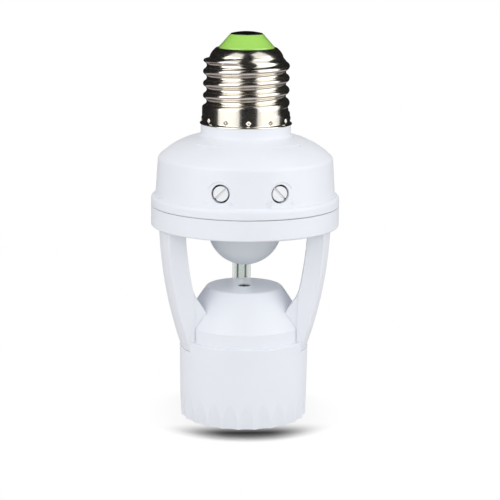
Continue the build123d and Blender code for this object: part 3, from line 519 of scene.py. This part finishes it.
def cap_section(turn):
    """The screw shell's wall at one turn: up outside from the flared rim, and down inside."""
    rim = [(cap_rim_radius - inward, cap_seat + up) for inward, up in cap_rim_bead]
    stakes = [(cap_band_radius + stake_relief(turn, height), height) for height in stake_levels]
    thread = [(wall_radius(turn, height), height) for height in thread_levels]
    dome = [(dome_radius(height), height) for height in dome_levels]
    lip = [
        (cap_dome_radius - cap_lip_round, cap_top),
        (cap_opening, cap_top),
        (cap_opening, cap_top - cap_sheet),
        (cap_dome_radius - cap_sheet, cap_top - cap_sheet),
    ]
    inside = [
        (cap_bore, cap_thread_top - cap_bore_drop),
        (cap_bore, cap_band_top - cap_bore_drop),
        (cap_band_radius - cap_sheet, cap_band_top - 2 * cap_bore_drop),
        (cap_band_radius - cap_sheet, cap_seat),
    ]
    return rim + [cap_band_foot] + stakes + thread + dome + lip + inside


# The wall's edges round each stake, in degrees from its middle, close together over the diamond.
stake_edges = [-14, -12, -10, -8, -6, -4.5, *(i * 0.45 for i in range(-8, 9)), 4.5, 6, 8, 10, 12]
cap_turns = [
    math.radians(360 * i / stake_count - 90 + edge) for i in range(stake_count) for edge in stake_edges
]
rolled_cap = turned_sheet("rolled_screw_shell", cap_turns, cap_section, nickel)
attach(rolled_cap, "holder")
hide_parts("screw_shell")

# Insulating plug: a cone of glossy lime-green resin, pressed into the top of the shell. Its edges are
# a little rounded, and catch a thin line of light above and below.
plug_low, plug_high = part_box("cap_insulator")
plug_foot = plug_low[2] / mm
plug_top = plug_high[2] / mm
plug_radius = cap_opening - 0.1
plug_top_radius = 5.0
plug_bore = 1.3
plug_edge = 0.35
plug_neck_radius = cap_dome_radius - cap_sheet - 0.2
plug_foot_radius = cap_bore - 0.3
plug_facets = 144

# The cone's rounded lower edge, as steps in from its radius and up from its corner.
plug_lower_edge = [(0.27, 0.16), (0.12, 0.08), (0.03, -0.05), (0.0, -0.2)]


def plug_section(turn):
    """The plug's section, the same at every turn: bore, hidden foot, cone with rounded edges."""
    slope = math.atan2(plug_top - cap_top - plug_edge, plug_radius - plug_top_radius)
    upper = [
        (
            plug_top_radius - plug_edge * math.tan(slope / 2) + plug_edge * math.sin(slope * share),
            plug_top - plug_edge + plug_edge * math.cos(slope * share),
        )
        for share in (0, 0.25, 0.5, 0.75, 1)
    ]
    lower = [(plug_radius - inward, cap_top + plug_edge + up) for inward, up in plug_lower_edge]
    hidden = [
        (plug_radius, cap_top - cap_sheet),
        (plug_neck_radius, cap_top - cap_sheet),
        (plug_foot_radius, plug_foot),
        (plug_bore, plug_foot),
    ]
    return [(plug_bore, plug_top)] + upper + lower + hidden


gloss_coat = {"Coat Weight": 1.0, "Coat Roughness": 0.1}
lime = new_surface(
    "glossy_lime_resin", "#A7E162", "#AEE66B",
    grain=2.0, relief=0.004, roughness=(0.2, 0.28), **gloss_coat,
)
plug = turned_sheet("lime_insulating_plug", full_circle(plug_facets), plug_section, lime)
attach(plug, "holder")
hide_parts("cap_insulator")

# Centre contact of the cap: a domed button of plated metal on top of the plug, its colour darkened as
# painted shade. Its polish is dull, so the dome shows one soft grey highlight.
contact_painted_shade = new_surface(
    "contact_metal_painted_shade", "#3E3E44", "#4A4A50",
    grain=1.0, relief=0.004, roughness=(0.3, 0.4), Metallic=1.0,
)
apply_finish(contact_painted_shade, "centre_contact")

# Lamps: two tall soft boxes in front, left and right, are the ones that the gloss shows. One ahead,
# one at each side, one above and one behind are hidden from it, and fill the white pieces evenly.
aim_height = 0.06


def lamp(name, turn, distance, height, width, length, radiance, in_gloss=True):
    """A soft box at a compass turn from the front, in metres, aimed at the object's middle."""
    data = bpy.data.lights.new(name, "AREA")
    data.shape = "RECTANGLE"
    data.size, data.size_y = width, length
    data.energy = radiance * math.pi * width * length
    box = put_in_scene(name, data)
    angle = math.radians(turn)
    box.location = (distance * math.sin(angle), -distance * math.cos(angle), height)
    aim = Vector((0, 0, aim_height)) - box.location
    box.rotation_euler = aim.to_track_quat("-Z", "Y").to_euler()
    box.visible_glossy = in_gloss


# Each has its turn in degrees, its distance, height, width and length in metres, and its radiance.
lamp("soft_box_left", -53, 0.9, 0.3, 0.9, 1.0, 1.1)
lamp("soft_box_right", 59, 0.9, 0.3, 0.9, 1.0, 1.18)
lamp("soft_box_ahead", 0, 0.9, 0.5, 0.6, 0.6, 0.6, in_gloss=False)
lamp("soft_box_far_left", -105, 0.9, 0.3, 0.7, 0.9, 0.42, in_gloss=False)
lamp("soft_box_far_right", 105, 0.9, 0.3, 0.7, 0.9, 0.7, in_gloss=False)
lamp("soft_box_above", 0, 0.25, 1.1, 0.8, 0.8, 0.45, in_gloss=False)
lamp("soft_box_behind", 180, 0.9, 0.4, 1.3, 0.5, 1.9, in_gloss=False)

# White surround: an even white on all sides, as the camera, the gloss and the clear sleeve see it. As
# light on the object it is a third weaker, so that the pale resin stays below white.
surround_light = 0.66


def seen_by_gloss(tree):
    """1 for camera, glossy and transmission rays, and 0 for the rays that carry diffuse light."""
    path = add_node(tree, "ShaderNodeLightPath", {})
    seen = path.outputs["Is Camera Ray"]
    for ray in ("Is Glossy Ray", "Is Transmission Ray"):
        seen = add_node(
            tree, "ShaderNodeMath", {0: seen, 1: path.outputs[ray]}, operation="MAXIMUM"
        ).outputs["Value"]
    return seen


world = bpy.data.worlds.new("white_surround")
bpy.context.scene.world = world
tree = cleared_tree(world)
level = add_node(
    tree, "ShaderNodeMapRange", {"Value": seen_by_gloss(tree), "To Min": surround_light, "To Max": 1.0}
)
light = add_node(
    tree, "ShaderNodeBackground", {"Color": (1, 1, 1, 1), "Strength": level.outputs["Result"]}
)
add_node(tree, "ShaderNodeOutputWorld", {"Surface": light.outputs["Background"]})

# Cards: dark ones before, behind and above the object and a grey one on the floor, glowing at set tones
# and seen in its gloss alone, so that the plated metal shows two bright fields between dark ones and a
# painted grey reflection of the floor. The front and rear cards are walls that lean in at the top, up to
# the one above.
card_profile = [(0.3, 0.0), (0.3, 0.45), (0.16, 0.55)]
card_patch = 90.0
card_steps = 24
floor_card_height = 0.0005
round_card_facets = 48


def card_glow(name, low, high):
    """A card that glows at a tone drifting between two near shades, so that it shows in reflections as a
    soft field.
    """
    material = bpy.data.materials.new(name)
    tree = cleared_tree(material)
    place = add_node(tree, "ShaderNodeTexCoord", {}).outputs["Object"]
    colour = drifting_colour(tree, place, low, high, card_patch, 1.0)
    tone = add_node(tree, "ShaderNodeEmission", {"Color": colour, "Strength": 1.0})
    add_node(tree, "ShaderNodeOutputMaterial", {"Surface": tone.outputs["Emission"]})
    return material


def stage_sheet(name, corners, faces, material):
    """A flat-faced object of the studio, from corners in metres."""
    mesh = bpy.data.meshes.new(name)
    mesh.from_pydata(corners, [], faces)
    mesh.materials.append(material)
    return put_in_scene(name, mesh)


def gloss_card(name, corners, faces, material):
    """A card that only glossy rays see."""
    card = stage_sheet(name, corners, faces, material)
    card.visible_camera = False
    card.visible_diffuse = False
    card.visible_transmission = False
    card.visible_shadow = False


dark_tone = card_glow("dark_card", "#0B0A0A", "#302F2F")
grey_tone = card_glow("grey_card", "#9C9699", "#B4AEB0")
rows = len(card_profile)
for name, start, end in (("front_card", -20, 27), ("rear_card", 92, 281)):
    turns = [math.radians(start + (end - start) * i / card_steps) for i in range(card_steps + 1)]
    corners = [
        (reach * math.sin(turn), -reach * math.cos(turn), height)
        for turn in turns
        for reach, height in card_profile
    ]
    lower_left = [rows * i + j for i in range(card_steps) for j in range(rows - 1)]
    faces = [(corner, corner + rows, corner + rows + 1, corner + 1) for corner in lower_left]
    gloss_card(name, corners, faces, dark_tone)
for name, reach, height, tone in (
    ("overhead_card", *card_profile[-1], dark_tone),
    ("floor_card", card_profile[0][0], floor_card_height, grey_tone),
):
    edge = full_circle(round_card_facets)
    corners = [(reach * math.cos(turn), reach * math.sin(turn), height) for turn in edge]
    gloss_card(name, corners, [tuple(range(round_card_facets))], tone)

# Floor: a white sheet out to the horizon. The camera sees it as a plain white glow with a painted contact
# shadow, drawn from how near the object is and full under the front of the rim, faint towards the sides
# and the back, and it throws light up at the object as a pale matt paint does.
floor_reach = 30.0
shadow_reach = 0.013
shadow_falloff = 10.0
shadow_faint = 0.12
shadow_back_to_front = (-0.012, -0.023)
shadow_side_to_middle = (0.031, 0.006)


def shadow_share(tree, across, span):
    """The shadow's strength along one direction: faint at the span's start and full at its end."""
    share = add_node(
        tree,
        "ShaderNodeMapRange",
        {"Value": across, "From Min": span[0], "From Max": span[1], "To Min": shadow_faint, "To Max": 1.0},
        interpolation_type="SMOOTHSTEP",
    )
    return share.outputs["Result"]


white_floor = bpy.data.materials.new("white_floor")
tree = cleared_tree(white_floor)
closeness = add_node(tree, "ShaderNodeAmbientOcclusion", {"Distance": shadow_reach}, samples=16)
shade = add_node(
    tree, "ShaderNodeMath", {0: closeness.outputs["AO"], 1: shadow_falloff}, operation="POWER"
)
place = add_node(tree, "ShaderNodeTexCoord", {}).outputs["Object"]
spot = add_node(tree, "ShaderNodeSeparateXYZ", {"Vector": place})
aside = add_node(tree, "ShaderNodeMath", {0: spot.outputs["X"]}, operation="ABSOLUTE")
weight = add_node(
    tree,
    "ShaderNodeMath",
    {
        0: shadow_share(tree, spot.outputs["Y"], shadow_back_to_front),
        1: shadow_share(tree, aside.outputs["Value"], shadow_side_to_middle),
    },
    operation="MULTIPLY",
)
glow = add_node(
    tree,
    "ShaderNodeMix",
    {"Factor": weight.outputs["Value"], "A": 1.0, "B": shade.outputs["Value"]},
    data_type="FLOAT",
)
emit = add_node(
    tree, "ShaderNodeEmission", {"Color": (1, 1, 1, 1), "Strength": glow.outputs["Result"]}
)
paint = add_node(tree, "ShaderNodeBsdfDiffuse", {"Color": to_linear("#D0D0D0")})
both = add_node(
    tree,
    "ShaderNodeMixShader",
    {0: seen_by_gloss(tree), 1: paint.outputs["BSDF"], 2: emit.outputs["Emission"]},
)
add_node(tree, "ShaderNodeOutputMaterial", {"Surface": both.outputs["Shader"]})
floor_corners = [(x * floor_reach, y * floor_reach, 0) for x, y in ((-1, -1), (1, -1), (1, 1), (-1, 1))]
floor = stage_sheet("floor", floor_corners, [(0, 1, 2, 3)], white_floor)

# Camera: a long lens a little above the object, as near and as high as the photograph was taken. The
# object stands slightly turned to it, and the picture is rolled by less than a degree.
camera_data = bpy.data.cameras.new("camera")
camera_data.lens = 128.8
camera_data.sensor_width = 36.0
camera = put_in_scene("camera", camera_data)
bpy.context.scene.camera = camera
camera_distance = 0.5397
camera_height = 0.1619
object_turn = math.radians(3.4)
aim_turn = math.radians(0.177)
tilt_down = math.radians(11.54)
roll = math.radians(0.63)
camera.matrix_world = (
    Matrix.Rotation(-object_turn, 4, "Z")
    @ Matrix.Translation((0, -camera_distance, camera_height))
    @ Matrix.Rotation(-aim_turn, 4, "Z")
    @ Matrix.Rotation(math.pi / 2 - tilt_down, 4, "X")
    @ Matrix.Rotation(roll, 4, "Z")
)

bpy.context.scene.view_settings.view_transform = "Standard"
